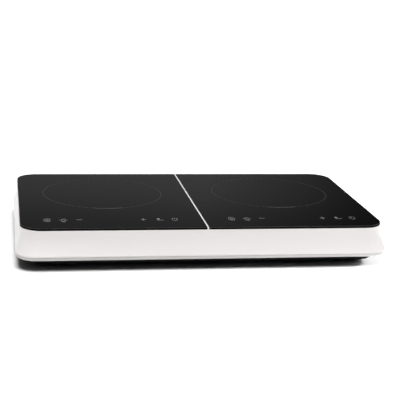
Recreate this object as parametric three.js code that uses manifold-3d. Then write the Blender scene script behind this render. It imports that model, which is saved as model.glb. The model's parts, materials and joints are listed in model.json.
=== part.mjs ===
// Portable induction cooktop with two cooking zones, built as an assembly.
// Two black glass panes lie side by side on a flared white cover, with a white rib between them.
// A white bezel closes the cover's lower edge. A black base pan hangs inside it and stands on rubber feet.
// Under each pane are a coil unit, a power board, a fan, and a touch board behind the front edge.
// Units are millimetres, +Z is up, the user stands on the -Y side, and the origin lies on the table
// under the centre of the footprint.
import * as THREE from "three";
import { mergeVertices } from "three/addons/utils/BufferGeometryUtils.js";
import Module from "manifold-3d";

const wasm = await Module();
wasm.setup();

// ---------------------------------------------------------------- driving dimensions

const WIDTH = 600; // over the flared lip
const DEPTH = 376;
const HEIGHT = 65;

const FLARE = { side: 7, front: 14, rear: 5 }; // from the glass edge out to the lip
const GLASS = { thickness: 4, radius: 34 };
const GLASS_BOTTOM = HEIGHT - GLASS.thickness;
const GLASS_EDGE = {
  x: WIDTH / 2 - FLARE.side,
  front: -DEPTH / 2 + FLARE.front,
  rear: DEPTH / 2 - FLARE.rear,
};

const LIP_RADIUS = 32;
const LIP_BOTTOM = 16;
const SEAM = 22; // the cover meets the bezel
const TOP_LEDGE = 0.8; // how far the cover's top edge stands out past the glass
const FLARE_START = 60; // heights between which the skirt swings outwards
const FLARE_END = 24;
const FLARE_CURVE = 1.6; // above 1, so it leaves the top edge nearly upright
const WALL = 2.6;
const FRAME = { bar: 15, thickness: 3 }; // the cover's top frame, under the edge of the panes
const FRAME_BOTTOM = GLASS_BOTTOM - FRAME.thickness;

const RIB_HALF = 1.2; // the white rib between the panes
const PANE_GAP = 0.2;
const SEAL = { outer: 5.3, inner: 14.7, fromRib: 2.3, thickness: 1, clearance: 0.3 };

const PAN = { halfX: 280, halfY: 170, radius: 24, bottom: 5, wall: 2.5, flange: 13 };
const PAN_FLOOR = PAN.bottom + PAN.wall;
const FLANGE_BOTTOM = LIP_BOTTOM + 2.5;
const FLANGE_TOP = FLANGE_BOTTOM + 2;

const ZONE = { x: 148.5, y: 43 }; // centre of each cooking zone
const COIL = { radius: 90, inner: 24, legRadius: 80, leg: 5, former: 51.5, winding: 54.5, mica: 59.4 };
const COIL_LEGS = [110, 210, 330]; // directions of the legs of the right-hand coil, in degrees
const KEYS_Y = -127;
const KEY_X = [-102, -76.5, -51, 51, 76.5, 102]; // touch keys, from the zone's centre line
const CARRIER = { bottom: 45, halfSpan: 88, leg: 4 };
const FAN = { x: 193, y: 92, side: 92, height: 20, duct: 43.5, hub: 17.5, blades: 7 };
const FAN_SHAFT = { radius: 1.5, bore: 1.58 };
const BOARD = { x: 77.5, y: -10, width: 125, depth: 190, thickness: 1.6, bottom: 14 };
const BOARD_TOP = BOARD.bottom + BOARD.thickness;
const BOARD_POST = { x: 56, y: 88 };
const GUSSET = { side: 297, front: -182.4, rear: 185.5, bottom: 25, top: 33 }; // reach into the skirt's wall
const SCREW = { shank: 1.5, head: 3, hole: 1.8, counterbore: 3.5, seat: LIP_BOTTOM + 1.5, tip: 32 };
const GLAND = { z: 45, pocket: 13, hole: 7, bore: 3.6, seat: 183 };
const TERMINALS = { y: 138, width: 44, depth: 20, height: 18 };
const FOOT = { radius: 11, face: 9.5, peg: 3, barb: 4.2 };

const SCREW_SPOTS = {
  side_left_front: [-288.5, -110],
  side_right_front: [288.5, -110],
  side_left_rear: [-288.5, 110],
  side_right_rear: [288.5, 110],
  front: [0, -178.5],
  rear: [0, 178.5],
};
const FOOT_SPOTS = {
  front_left: [-222, -147],
  front_right: [222, -147],
  rear_left: [-222, 147],
  rear_right: [222, 147],
};
const SIDES = { left: -1, right: 1 };

const CORNER_STEPS = 3; // divisions of getPoints, which gives twice as many on an arc
const ROUND = 20;
const BIG_ROUND = 28;
const SMALL_ROUND = 12;

// ---------------------------------------------------------------- materials

const look = (color, roughness, metalness = 0) =>
  new THREE.MeshStandardMaterial({ color, roughness, metalness });
const MATERIAL = {
  whitePlastic: look(0xefebe9, 0.25),
  blackPlastic: look(0x17171a, 0.55),
  blackGlass: look(0x0c0c0d, 0.06),
  rubber: look(0x1a1a1a, 0.85),
  silicone: look(0x6b6d70, 0.8),
  copper: look(0xb06a3c, 0.4, 0.9),
  mica: look(0xc9bf9f, 0.5),
  ferrite: look(0x35363a, 0.6),
  coilPlastic: look(0xd8d2c4, 0.6),
  circuitBoard: look(0x1f5a35, 0.5),
  aluminium: look(0xb9bcc0, 0.35, 0.9),
  steel: look(0x9a9ca0, 0.35, 0.9),
  epoxy: look(0x1c1c1e, 0.5),
  capacitor: look(0x2b4f8a, 0.4),
  display: look(0x241012, 0.3),
  wire: look(0x3a3a3d, 0.6),
  brass: look(0xb59a4c, 0.35, 0.9),
};

// ---------------------------------------------------------------- solids: make, join and cut

// A closed geometry as a solid that can be joined and cut.
function solid(geometry) {
  const plain = geometry.index ? geometry.toNonIndexed() : geometry.clone();
  plain.deleteAttribute("normal");
  plain.deleteAttribute("uv");
  const merged = mergeVertices(plain, 1e-4);
  return new wasm.Manifold(
    new wasm.Mesh({
      numProp: 3,
      vertProperties: merged.attributes.position.array,
      triVerts: new Uint32Array(merged.index.array),
    }),
  );
}

const join = (...solids) => solids.reduce((whole, piece) => whole.add(piece));
const cut = (whole, ...tools) => tools.reduce((rest, tool) => rest.subtract(tool), whole);

// A block between two opposite corners, given in any order.
function block(x0, x1, y0, y1, z0, z1) {
  const size = [x1 - x0, y1 - y0, z1 - z0].map(Math.abs);
  return solid(new THREE.BoxGeometry(...size).translate((x0 + x1) / 2, (y0 + y1) / 2, (z0 + z1) / 2));
}

const blockAt = (x, y, width, depth, z0, z1) =>
  block(x - width / 2, x + width / 2, y - depth / 2, y + depth / 2, z0, z1);

function cylinder(x, y, radius, z0, z1, steps = ROUND) {
  const geometry = new THREE.CylinderGeometry(radius, radius, z1 - z0, steps);
  return solid(geometry.rotateX(Math.PI / 2).translate(x, y, (z0 + z1) / 2));
}

// A hole right through the appliance.
const hole = (x, y, radius, steps = SMALL_ROUND) => cylinder(x, y, radius, -1, HEIGHT + 1, steps);

// A profile of [radius, height] pairs turned about Z. It runs up the outside, and ends on the axis or closes.
function turned(profile, steps = ROUND) {
  const points = profile.map(([radius, height]) => new THREE.Vector2(radius, height));
  return solid(new THREE.LatheGeometry(points, steps).rotateX(Math.PI / 2));
}

// A rectangle with round corners, as points that run counterclockwise.
function outline({ left, right, front, rear, radius }) {
  const shape = new THREE.Shape();
  shape.moveTo(left + radius, front);
  shape.absarc(right - radius, front + radius, radius, -Math.PI / 2, 0);
  shape.absarc(right - radius, rear - radius, radius, 0, Math.PI / 2);
  shape.absarc(left + radius, rear - radius, radius, Math.PI / 2, Math.PI);
  shape.absarc(left + radius, front + radius, radius, Math.PI, 1.5 * Math.PI);
  const points = shape.getPoints(CORNER_STEPS);
  return points.filter((p, i) => p.distanceTo(points[(i + 1) % points.length]) > 1e-3);
}

// The outline moved inwards by an inset.
const shrink = (o, inset) => ({
  left: o.left + inset,
  right: o.right - inset,
  front: o.front + inset,
  rear: o.rear - inset,
  radius: Math.max(o.radius - inset, 1),
});

const rectangle = (halfX, halfY, radius) => ({
  left: -halfX,
  right: halfX,
  front: -halfY,
  rear: halfY,
  radius,
});

function prism(o, z0, z1) {
  const shape = new THREE.Shape(outline(o));
  const geometry = new THREE.ExtrudeGeometry(shape, { depth: z1 - z0, bevelEnabled: false });
  return solid(geometry.translate(0, 0, z0));
}

// A solid through a stack of outlines, each given as { z, o }, from the lowest to the highest.
function loft(levels) {
  const rings = levels.map(({ z, o }) => outline(o).map((p) => new THREE.Vector3(p.x, p.y, z)));
  const count = rings[0].length;
  const index = [];
  for (let k = 0; k + 1 < rings.length; k++)
    for (let i = 0; i < count; i++) {
      const j = (i + 1) % count;
      const [a, b, c, d] = [k * count + i, k * count + j, (k + 1) * count + j, (k + 1) * count + i];
      index.push(a, b, c, a, c, d);
    }
  const flat = rings[0].map((p) => new THREE.Vector2(p.x, p.y));
  const top = (rings.length - 1) * count;
  for (const [a, b, c] of THREE.ShapeUtils.triangulateShape(flat, [])) {
    index.push(a, c, b);
    index.push(top + a, top + b, top + c);
  }
  const geometry = new THREE.BufferGeometry().setFromPoints(rings.flat());
  return solid(geometry.setIndex(index));
}

// A round lead along a smooth curve through the points.
function lead(points, radius, steps) {
  const section = new THREE.Shape().absarc(0, 0, radius, 0, 2 * Math.PI);
  const profile = new THREE.Shape(section.getSpacedPoints(8).slice(0, 8));
  const path = new THREE.CatmullRomCurve3(points.map((p) => new THREE.Vector3(...p)));
  const options = { steps, extrudePath: path, bevelEnabled: false };
  return solid(new THREE.ExtrudeGeometry(profile, options));
}

// ---------------------------------------------------------------- scene graph

// A group at a place in the cooktop.
function unit(parent, x, y, z = 0) {
  const group = new THREE.Group();
  group.position.set(x, y, z);
  parent.add(group);
  return group;
}

// Adds a solid to a group as a named mesh, and returns the mesh so that it can be placed.
function add(parent, name, made, material) {
  const { vertProperties, triVerts } = made.getMesh();
  const geometry = new THREE.BufferGeometry();
  geometry.setAttribute("position", new THREE.BufferAttribute(vertProperties, 3));
  geometry.setIndex(new THREE.BufferAttribute(triVerts, 1));
  geometry.computeVertexNormals();
  const mesh = new THREE.Mesh(geometry, material);
  mesh.name = name;
  parent.add(mesh);
  return mesh;
}

// ---------------------------------------------------------------- housing

// The outer face of the skirt at a share of the flare: 0 at the top edge, 1 at the lip.
function skirt(share) {
  const out = (flare) => TOP_LEDGE + share * (flare - TOP_LEDGE);
  return {
    left: -GLASS_EDGE.x - out(FLARE.side),
    right: GLASS_EDGE.x + out(FLARE.side),
    front: GLASS_EDGE.front - out(FLARE.front),
    rear: GLASS_EDGE.rear + out(FLARE.rear),
    radius: THREE.MathUtils.lerp(GLASS.radius + TOP_LEDGE, LIP_RADIUS, share),
  };
}

function skirtAt(z) {
  const fall = (FLARE_START - z) / (FLARE_START - FLARE_END);
  return skirt(THREE.MathUtils.clamp(fall, 0, 1) ** FLARE_CURVE);
}

const lip = skirt(1);
const SKIRT_STEP = 6;
const SKIRT_LEVELS = [];
for (let z = FLARE_END; z < FLARE_START; z += SKIRT_STEP) SKIRT_LEVELS.push(z);

const glassEdge = {
  left: -GLASS_EDGE.x,
  right: GLASS_EDGE.x,
  front: GLASS_EDGE.front,
  rear: GLASS_EDGE.rear,
  radius: GLASS.radius,
};

// The part of a shape that lies on one side of the rib, from a distance away from its centre line.
const halfOf = (whole, side, fromRib) =>
  whole.intersect(block(side * fromRib, side * WIDTH, -DEPTH, DEPTH, -1, 2 * HEIGHT));

const bothHalves = (whole, fromRib) => join(halfOf(whole, -1, fromRib), halfOf(whole, 1, fromRib));

// A cylinder on the cable inlet's axis, between two depths.
function inletCylinder(radius, y0, y1) {
  const geometry = new THREE.CylinderGeometry(radius, radius, y1 - y0, ROUND);
  return solid(geometry.translate(0, (y0 + y1) / 2, GLAND.z));
}

// Upright slots through the rear wall, on both sides of the cable inlet.
function rearVents() {
  const [first, count, pitch, width, bottom, top] = [64, 8, 13, 6, 31, 51];
  return Object.values(SIDES).flatMap((side) =>
    Array.from({ length: count }, (_, i) =>
      blockAt(side * (first + i * pitch), GLASS_EDGE.rear, width, 30, bottom, top),
    ),
  );
}

// A screw boss and the rib that ties it to the nearest wall.
function screwBoss([x, y]) {
  const boss = cylinder(x, y, 4.5, FLANGE_TOP, 34, SMALL_ROUND);
  const heights = [GUSSET.bottom, GUSSET.top];
  const alongX = () => block(x, Math.sign(x) * GUSSET.side, y - 1, y + 1, ...heights);
  const alongY = () => block(-1, 1, y, y < 0 ? GUSSET.front : GUSSET.rear, ...heights);
  const gusset = x ? alongX() : alongY();
  return join(boss, gusset);
}

function upperCover() {
  const outer = [SEAM, ...SKIRT_LEVELS, FLARE_START, GLASS_BOTTOM];
  const outside = loft(outer.map((z) => ({ z, o: skirtAt(z) })));
  const inner = [SEAM - 1, ...SKIRT_LEVELS, FRAME_BOTTOM];
  const hollow = loft(inner.map((z) => ({ z, o: shrink(skirtAt(z), WALL) })));
  const windows = bothHalves(prism(shrink(glassEdge, FRAME.bar), FRAME_BOTTOM - 1, HEIGHT), FRAME.bar);
  const seatEdge = shrink(glassEdge, SEAL.outer - SEAL.clearance);
  const seats = bothHalves(
    prism(seatEdge, GLASS_BOTTOM - SEAL.thickness, HEIGHT),
    SEAL.fromRib - SEAL.clearance,
  );
  const shell = cut(outside, hollow, windows, seats, ...rearVents());
  const rib = block(-RIB_HALF, RIB_HALF, GLASS_EDGE.front, GLASS_EDGE.rear, GLASS_BOTTOM - 0.5, HEIGHT);
  const spots = Object.values(SCREW_SPOTS);
  const inletPad = inletCylinder(GLAND.pocket + 2, GLAND.seat - 3, GLAND.seat + 1);
  const whole = join(shell, rib, inletPad, ...spots.map(screwBoss));
  const pilots = spots.map(([x, y]) => cylinder(x, y, SCREW.hole, 0, SCREW.tip + 1, SMALL_ROUND));
  const pocket = inletCylinder(GLAND.pocket, GLAND.seat, DEPTH);
  const inletHole = inletCylinder(GLAND.hole, GLAND.seat - 20, DEPTH);
  add(cooktop, "upper_cover", cut(whole, pocket, inletHole, ...pilots), MATERIAL.whitePlastic);
}

function lowerBezel() {
  const band = loft([
    { z: LIP_BOTTOM, o: shrink(lip, 3.6) },
    { z: LIP_BOTTOM + 0.9, o: shrink(lip, 1.9) },
    { z: LIP_BOTTOM + 2.6, o: shrink(lip, 0.7) },
    { z: SEAM - 0.3, o: shrink(lip, 0.1) },
  ]);
  const tongue = prism(shrink(lip, 3), LIP_BOTTOM + 1, SEAM + 2);
  const tray = prism(shrink(lip, 4.4), FLANGE_BOTTOM, HEIGHT);
  const clearance = 0.5;
  const opening = prism(shrink(rectangle(PAN.halfX, PAN.halfY, PAN.radius), -clearance), 0, HEIGHT);
  const holes = Object.values(SCREW_SPOTS).flatMap(([x, y]) => [
    hole(x, y, SCREW.hole),
    cylinder(x, y, SCREW.counterbore, 0, SCREW.seat, SMALL_ROUND),
  ]);
  add(cooktop, "lower_bezel", cut(join(band, tongue), tray, opening, ...holes), MATERIAL.whitePlastic);
}

// Slots in the pan's floor, through which the fans draw air and the warm air of the boards leaves.
function floorVents() {
  const fanSlot = { rows: 7, pitch: 10.5, width: 5.5, radius: 40 };
  const boardSlot = { rows: 5, x: 85, y: -75, pitch: 11, width: 4.5, length: 70 };
  const slots = [];
  for (const side of Object.values(SIDES)) {
    for (let i = 0; i < fanSlot.rows; i++) {
      const dy = (i - (fanSlot.rows - 1) / 2) * fanSlot.pitch;
      const length = 2 * Math.sqrt(fanSlot.radius ** 2 - dy ** 2);
      slots.push(blockAt(side * FAN.x, FAN.y + dy, length, fanSlot.width, 0, PAN_FLOOR + 1));
    }
    for (let i = 0; i < boardSlot.rows; i++) {
      const y = boardSlot.y + i * boardSlot.pitch;
      slots.push(blockAt(side * boardSlot.x, y, boardSlot.length, boardSlot.width, 0, PAN_FLOOR + 1));
    }
  }
  return slots;
}

// Where the legs of a coil stand, from the zone's centre.
const coilLegs = (side) =>
  COIL_LEGS.map((degrees) => {
    const angle = THREE.MathUtils.degToRad(degrees);
    return [side * COIL.legRadius * Math.cos(angle), COIL.legRadius * Math.sin(angle)];
  });

// Short posts on the pan's floor, under the power board of one side.
function posts(side) {
  const spots = [-1, 1].flatMap((sx) => [-1, 1].map((sy) => [sx * BOARD_POST.x, sy * BOARD_POST.y]));
  return spots.map(([x, y]) =>
    cylinder(side * BOARD.x + x, BOARD.y + y, 3.5, PAN_FLOOR - 0.5, BOARD.bottom, SMALL_ROUND),
  );
}

function basePan() {
  const rim = rectangle(PAN.halfX, PAN.halfY, PAN.radius);
  const tub = loft([
    { z: PAN.bottom, o: shrink(rim, 5) },
    { z: PAN.bottom + 1.5, o: shrink(rim, 2.5) },
    { z: PAN.bottom + 4, o: shrink(rim, 1) },
    { z: FLANGE_BOTTOM + 0.5, o: rim },
  ]);
  const hollow = loft([
    { z: PAN_FLOOR, o: shrink(rim, 5 + PAN.wall) },
    { z: PAN_FLOOR + 3, o: shrink(rim, 1 + PAN.wall) },
    { z: HEIGHT, o: shrink(rim, PAN.wall) },
  ]);
  const flange = prism(shrink(rim, -PAN.flange), FLANGE_BOTTOM, FLANGE_TOP);
  const whole = join(cut(join(tub, flange), hollow), ...posts(-1), ...posts(1));
  const footHoles = Object.values(FOOT_SPOTS).map(([x, y]) => hole(x, y, FOOT.peg + 0.4));
  const screwHoles = Object.values(SCREW_SPOTS).map(([x, y]) => hole(x, y, SCREW.hole));
  const made = cut(whole, ...floorVents(), ...footHoles, ...screwHoles);
  add(cooktop, "base_pan", made, MATERIAL.blackPlastic);
}

// Push-in feet: rubber discs with a barbed peg through the pan's floor.
function feet() {
  const made = turned(
    [
      [0, 0],
      [FOOT.face, 0],
      [FOOT.radius, 1.2],
      [FOOT.radius, PAN.bottom - 1],
      [FOOT.radius - 1, PAN.bottom],
      [FOOT.peg, PAN.bottom],
      [FOOT.peg, PAN_FLOOR + 0.3],
      [FOOT.barb, PAN_FLOOR + 0.8],
      [FOOT.peg - 0.6, PAN_FLOOR + 3.5],
      [0, PAN_FLOOR + 3.5],
    ],
    14,
  );
  for (const [name, [x, y]] of Object.entries(FOOT_SPOTS))
    add(cooktop, `foot_${name}`, made, MATERIAL.rubber).position.set(x, y, 0);
}

function screws() {
  const made = turned(
    [
      [0, SCREW.seat - 1.3],
      [SCREW.head - 0.6, SCREW.seat - 1.3],
      [SCREW.head, SCREW.seat - 0.4],
      [SCREW.head, SCREW.seat],
      [SCREW.shank, SCREW.seat],
      [SCREW.shank, SCREW.tip - 1.5],
      [0, SCREW.tip],
    ],
    SMALL_ROUND,
  );
  for (const [name, [x, y]] of Object.entries(SCREW_SPOTS))
    add(cooktop, `housing_screw_${name}`, made, MATERIAL.steel).position.set(x, y, 0);
}

// The cable gland: a flange on each side of the wall, a neck through it, and a rounded nose outside.
function cableGland() {
  const neck = GLAND.hole - 0.4;
  const made = turned([
    [GLAND.bore, -8],
    [9, -8],
    [9, -3.3],
    [neck, -3.3],
    [neck, 0],
    [GLAND.pocket - 1, 0],
    [GLAND.pocket - 1, 1.8],
    [8, 2.6],
    [6.4, 4.8],
    [GLAND.bore, 4.8],
    [GLAND.bore, -8],
  ]);
  const mesh = add(cooktop, "cable_gland", made, MATERIAL.blackPlastic);
  mesh.position.set(0, GLAND.seat, GLAND.z);
  mesh.rotation.x = -Math.PI / 2;
}

function glassPane(side, name) {
  const pane = halfOf(prism(glassEdge, GLASS_BOTTOM, HEIGHT), side, RIB_HALF + PANE_GAP);
  add(cooktop, `${name}_glass`, pane, MATERIAL.blackGlass);
  const sheet = prism(shrink(glassEdge, SEAL.outer), GLASS_BOTTOM - SEAL.thickness, GLASS_BOTTOM);
  const window = prism(shrink(glassEdge, SEAL.inner), 0, HEIGHT);
  const bead = cut(halfOf(sheet, side, SEAL.fromRib), halfOf(window, side, FRAME.bar - 1));
  add(cooktop, `${name}_glass_seal`, bead, MATERIAL.silicone);
}

// ---------------------------------------------------------------- what works inside

function coilUnit(side, name) {
  const group = unit(cooktop, side * ZONE.x, ZONE.y);

  const plate = cylinder(0, 0, COIL.radius + 2, COIL.former, COIL.winding, BIG_ROUND);
  const legs = coilLegs(side).map(([x, y]) =>
    cylinder(x, y, COIL.leg, PAN_FLOOR, COIL.former + 1, SMALL_ROUND),
  );
  const windows = Array.from({ length: 6 }, (_, i) => {
    const angle = ((i + 0.5) * Math.PI) / 3;
    return hole(58 * Math.cos(angle), 58 * Math.sin(angle), 13);
  });
  const former = cut(join(plate, ...legs), ...windows, hole(0, 0, 11.5, ROUND));
  add(group, `${name}_coil_former`, former, MATERIAL.coilPlastic);

  // The flat winding, with its turns of stranded copper as low ridges.
  const turns = 5;
  const pitch = (COIL.radius - COIL.inner) / turns;
  const groove = COIL.mica - 1.2;
  const profile = [[COIL.radius, COIL.winding]];
  for (let i = turns; i > 0; i--)
    profile.push([COIL.inner + pitch * i, groove], [COIL.inner + pitch * (i - 0.5), COIL.mica]);
  profile.push([COIL.inner, groove], [COIL.inner, COIL.winding], [COIL.radius, COIL.winding]);
  add(group, `${name}_coil_winding`, turned(profile, BIG_ROUND), MATERIAL.copper);

  const sheet = cylinder(0, 0, COIL.radius + 1, COIL.mica, COIL.mica + 0.5, BIG_ROUND);
  add(group, `${name}_mica_sheet`, cut(sheet, hole(0, 0, 14, ROUND)), MATERIAL.mica);

  // Six ferrite bars on a backing ring, bonded under the former between its legs.
  const bars = Array.from({ length: 6 }, (_, i) => {
    const bar = new THREE.BoxGeometry(52, 11, 4.5).translate(54, 0, COIL.former - 2.5);
    return solid(bar.rotateZ((i * Math.PI) / 3));
  });
  const backing = cylinder(0, 0, 36, COIL.former - 4.75, COIL.former - 1.5);
  const ferrite = join(cut(backing, hole(0, 0, 26, ROUND)), ...bars);
  add(group, `${name}_ferrite_bars`, ferrite, MATERIAL.ferrite);

  const sensor = turned([
    [0, COIL.former - 1],
    [13, COIL.former - 1],
    [13, COIL.former - 0.2],
    [11, COIL.former - 0.2],
    [11, COIL.winding + 0.5],
    [7, COIL.winding + 1],
    [6, GLASS_BOTTOM - 0.2],
    [0, GLASS_BOTTOM - 0.2],
  ]);
  add(group, `${name}_temperature_sensor`, sensor, MATERIAL.silicone);
}

function powerBoard(side, name) {
  const at = (x, y, width, depth, z0, z1) => blockAt(side * x, y, width, depth, z0, z1);
  const [legX, legY] = coilLegs(side)[1];
  const sheet = at(BOARD.x, BOARD.y, BOARD.width, BOARD.depth, BOARD.bottom, BOARD_TOP);
  const board = cut(sheet, hole(side * ZONE.x + legX, ZONE.y + legY, COIL.leg + 1));
  add(cooktop, `${name}_power_board`, board, MATERIAL.circuitBoard);

  // The heat sink stands on its two power chips. Its fins run along X, in line with the fan's air.
  const sink = { x: 42, y: 50, length: 46, depth: 64, bottom: BOARD_TOP + 5, base: 4, top: 40 };
  const fin = { count: 9, thickness: 1.6 };
  const pitch = (sink.depth - fin.thickness) / (fin.count - 1);
  const fins = Array.from({ length: fin.count }, (_, i) => {
    const y = sink.y + (i - (fin.count - 1) / 2) * pitch;
    return at(sink.x, y, sink.length, fin.thickness, sink.bottom + 1, sink.top);
  });
  const plate = at(sink.x, sink.y, sink.length, sink.depth, sink.bottom, sink.bottom + sink.base);
  add(cooktop, `${name}_heat_sink`, join(plate, ...fins), MATERIAL.aluminium);

  const chip = (y) => at(sink.x, y, 16, 21, BOARD_TOP, sink.bottom);
  add(cooktop, `${name}_power_transistor`, chip(sink.y - 18), MATERIAL.epoxy);
  add(cooktop, `${name}_bridge_rectifier`, chip(sink.y + 18), MATERIAL.epoxy);
  const resonant = at(112, -30, 18, 32, BOARD_TOP, BOARD_TOP + 25);
  add(cooktop, `${name}_resonant_capacitor`, resonant, MATERIAL.capacitor);
  const smoothing = at(40, -45, 38, 20, BOARD_TOP, BOARD_TOP + 22);
  add(cooktop, `${name}_smoothing_capacitor`, smoothing, MATERIAL.capacitor);
  const choke = new THREE.TorusGeometry(12, 5.5, 6, 14);
  const mesh = add(cooktop, `${name}_filter_choke`, solid(choke), MATERIAL.copper);
  mesh.position.set(side * 112, 42, BOARD_TOP + 5.5);
}

function fan(side, name) {
  const group = unit(cooktop, side * FAN.x, FAN.y, PAN_FLOOR);

  const quarter = Math.PI / 2;
  const struts = Array.from({ length: 4 }, (_, i) => {
    const strut = new THREE.BoxGeometry(FAN.duct - 8, 4, 2.6).translate(FAN.duct / 2 + 5, 0, 1.3);
    return solid(strut.rotateZ((i + 0.5) * quarter));
  });
  const mountHoles = Array.from({ length: 4 }, (_, i) => {
    const reach = Math.SQRT2 * 41.25;
    const angle = (i + 0.5) * quarter;
    return hole(reach * Math.cos(angle), reach * Math.sin(angle), 2.2, 8);
  });
  const square = prism(rectangle(FAN.side / 2, FAN.side / 2, 5), 0, FAN.height);
  const ring = cut(square, hole(0, 0, FAN.duct, BIG_ROUND), ...mountHoles);
  const tube = cylinder(0, 0, 5.5, 0, 13, 16);
  const seat = join(cylinder(0, 0, FAN.hub, 0, 3), tube, ...struts);
  const bushSeat = cylinder(0, 0, 4.3, 1.5, HEIGHT, 16);
  add(group, `${name}_fan_frame`, cut(join(ring, seat), bushSeat), MATERIAL.blackPlastic);

  const bush = turned([
    [FAN_SHAFT.bore, 2],
    [4, 2],
    [4, 13],
    [FAN_SHAFT.bore, 13],
    [FAN_SHAFT.bore, 2],
  ]);
  add(group, `${name}_fan_bearing`, bush, MATERIAL.brass);

  const cup = turned([
    [0, 2.5],
    [FAN_SHAFT.radius, 2.5],
    [FAN_SHAFT.radius, 16],
    [FAN.hub - 2, 16],
    [FAN.hub - 2, 4.5],
    [FAN.hub, 4.5],
    [FAN.hub, 17],
    [FAN.hub - 1.5, 18.5],
    [0, 18.5],
  ]);
  const blades = Array.from({ length: FAN.blades }, (_, i) => fanBlade((2 * Math.PI * i) / FAN.blades, 11));
  add(group, `${name}_fan_rotor`, join(cup, ...blades), MATERIAL.blackPlastic);
}

// A cambered blade: a thin bowed section carried out from the hub at a pitch.
function fanBlade(angle, z) {
  const [from, to, pitch] = [65, 115, -35].map(THREE.MathUtils.degToRad);
  const bow = { outer: 18, inner: 16.6, centre: -16 };
  const section = new THREE.Shape();
  section.absarc(0, bow.centre, bow.outer, from, to);
  section.absarc(0, bow.centre, bow.inner, to, from, true);
  const [root, tip] = [FAN.hub - 1, FAN.duct - 1.8];
  const options = { depth: tip - root, bevelEnabled: false, curveSegments: 2 };
  const blade = new THREE.ExtrudeGeometry(section, options);
  blade.rotateZ(pitch).rotateY(Math.PI / 2).rotateX(Math.PI / 2).translate(root, 0, z);
  return solid(blade.rotateZ(angle));
}

function touchPanel(side, name) {
  const group = unit(cooktop, side * ZONE.x, KEYS_Y);
  const bottom = CARRIER.bottom + 4;
  const top = bottom + 1.6;

  const board = blockAt(0, 0, 226, 32, bottom, top);
  const pads = KEY_X.map((x) => {
    const pad = new THREE.CylinderGeometry(4, 2.5, GLASS_BOTTOM - 0.2 - (top - 0.3), 10);
    return solid(pad.rotateX(Math.PI / 2).translate(x, 0, (GLASS_BOTTOM - 0.2 + top - 0.3) / 2));
  });
  add(group, `${name}_touch_board`, join(board, ...pads), MATERIAL.circuitBoard);
  add(group, `${name}_digit_display`, blockAt(0, 0, 50, 19, top, GLASS_BOTTOM - 1), MATERIAL.display);

  const tray = blockAt(0, 0, 231, 37, CARRIER.bottom, top + 2);
  const seat = blockAt(0, 0, 227, 33, bottom, HEIGHT);
  const well = blockAt(0, 0, 200, 22, CARRIER.bottom + 2, HEIGHT);
  const legs = [-CARRIER.halfSpan, CARRIER.halfSpan].map((x) =>
    cylinder(x, 0, CARRIER.leg, PAN_FLOOR, CARRIER.bottom + 1, SMALL_ROUND),
  );
  add(group, `${name}_touch_board_carrier`, join(cut(tray, seat, well), ...legs), MATERIAL.blackPlastic);
}

// The mains lead runs from the terminals to the power board, the control lead from there to the touch board.
function wiring(side, name) {
  const mirrored = (points) => points.map(([x, y, z]) => [side * x, y, z]);
  const mains = [
    [14, TERMINALS.y - TERMINALS.depth / 2 - 0.4, 21],
    [14, 122, 21],
    [24, 108, 26],
    [60, 98, 30],
    [98, 78, 28],
    [106, 72, 22],
    [106, 72, BOARD_TOP + 0.3],
  ];
  add(cooktop, `${name}_mains_lead`, lead(mirrored(mains), 2, 16), MATERIAL.wire);
  const control = [
    [96, -108, CARRIER.bottom - 0.5],
    [96, -104, 38],
    [90, -98, 28],
    [84, -92, 20],
    [84, -92, BOARD_TOP + 0.3],
  ];
  add(cooktop, `${name}_control_lead`, lead(mirrored(control), 1.8, 12), MATERIAL.wire);
}

function terminalBlock() {
  const top = PAN_FLOOR + TERMINALS.height;
  const body = blockAt(0, TERMINALS.y, TERMINALS.width, TERMINALS.depth, PAN_FLOOR, top);
  const wells = [-14, 0, 14].map((x) => cylinder(x, TERMINALS.y, 3, top - 6, HEIGHT, SMALL_ROUND));
  add(cooktop, "mains_terminal_block", cut(body, ...wells), MATERIAL.coilPlastic);
}

const cooktop = new THREE.Group();

upperCover();
lowerBezel();
basePan();
feet();
screws();
cableGland();
terminalBlock();
for (const [name, side] of Object.entries(SIDES)) {
  glassPane(side, name);
  coilUnit(side, name);
  powerBoard(side, name);
  fan(side, name);
  touchPanel(side, name);
  wiring(side, name);
}

export default cooktop;
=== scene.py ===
"""Looks of a portable two-zone induction cooktop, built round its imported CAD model.

Sizes are written in millimetres, as in the CAD source, and turned into metres when a mesh is made.
The lights and the camera are placed in metres.
"""
import json
import math

import bmesh
import bpy
from mathutils import Matrix, Vector

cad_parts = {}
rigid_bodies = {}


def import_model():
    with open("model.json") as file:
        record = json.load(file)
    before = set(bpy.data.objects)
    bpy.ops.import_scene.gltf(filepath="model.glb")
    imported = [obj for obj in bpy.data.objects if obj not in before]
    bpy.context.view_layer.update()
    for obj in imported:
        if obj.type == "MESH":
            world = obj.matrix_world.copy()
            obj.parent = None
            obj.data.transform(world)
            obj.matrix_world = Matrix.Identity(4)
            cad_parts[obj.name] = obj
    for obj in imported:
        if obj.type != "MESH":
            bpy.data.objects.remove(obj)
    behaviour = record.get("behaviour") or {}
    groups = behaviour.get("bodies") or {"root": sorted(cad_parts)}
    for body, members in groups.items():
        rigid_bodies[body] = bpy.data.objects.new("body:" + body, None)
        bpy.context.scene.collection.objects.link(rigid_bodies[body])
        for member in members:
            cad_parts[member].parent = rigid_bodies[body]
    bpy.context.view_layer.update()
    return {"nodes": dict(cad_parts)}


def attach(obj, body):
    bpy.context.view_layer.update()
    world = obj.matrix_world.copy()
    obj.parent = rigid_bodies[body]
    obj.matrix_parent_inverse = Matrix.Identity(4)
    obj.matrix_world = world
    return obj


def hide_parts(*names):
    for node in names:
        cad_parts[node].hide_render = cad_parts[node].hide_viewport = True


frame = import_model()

MM = 0.001

# ------------------------------------------------------------------ dimensions, in millimetres

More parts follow.
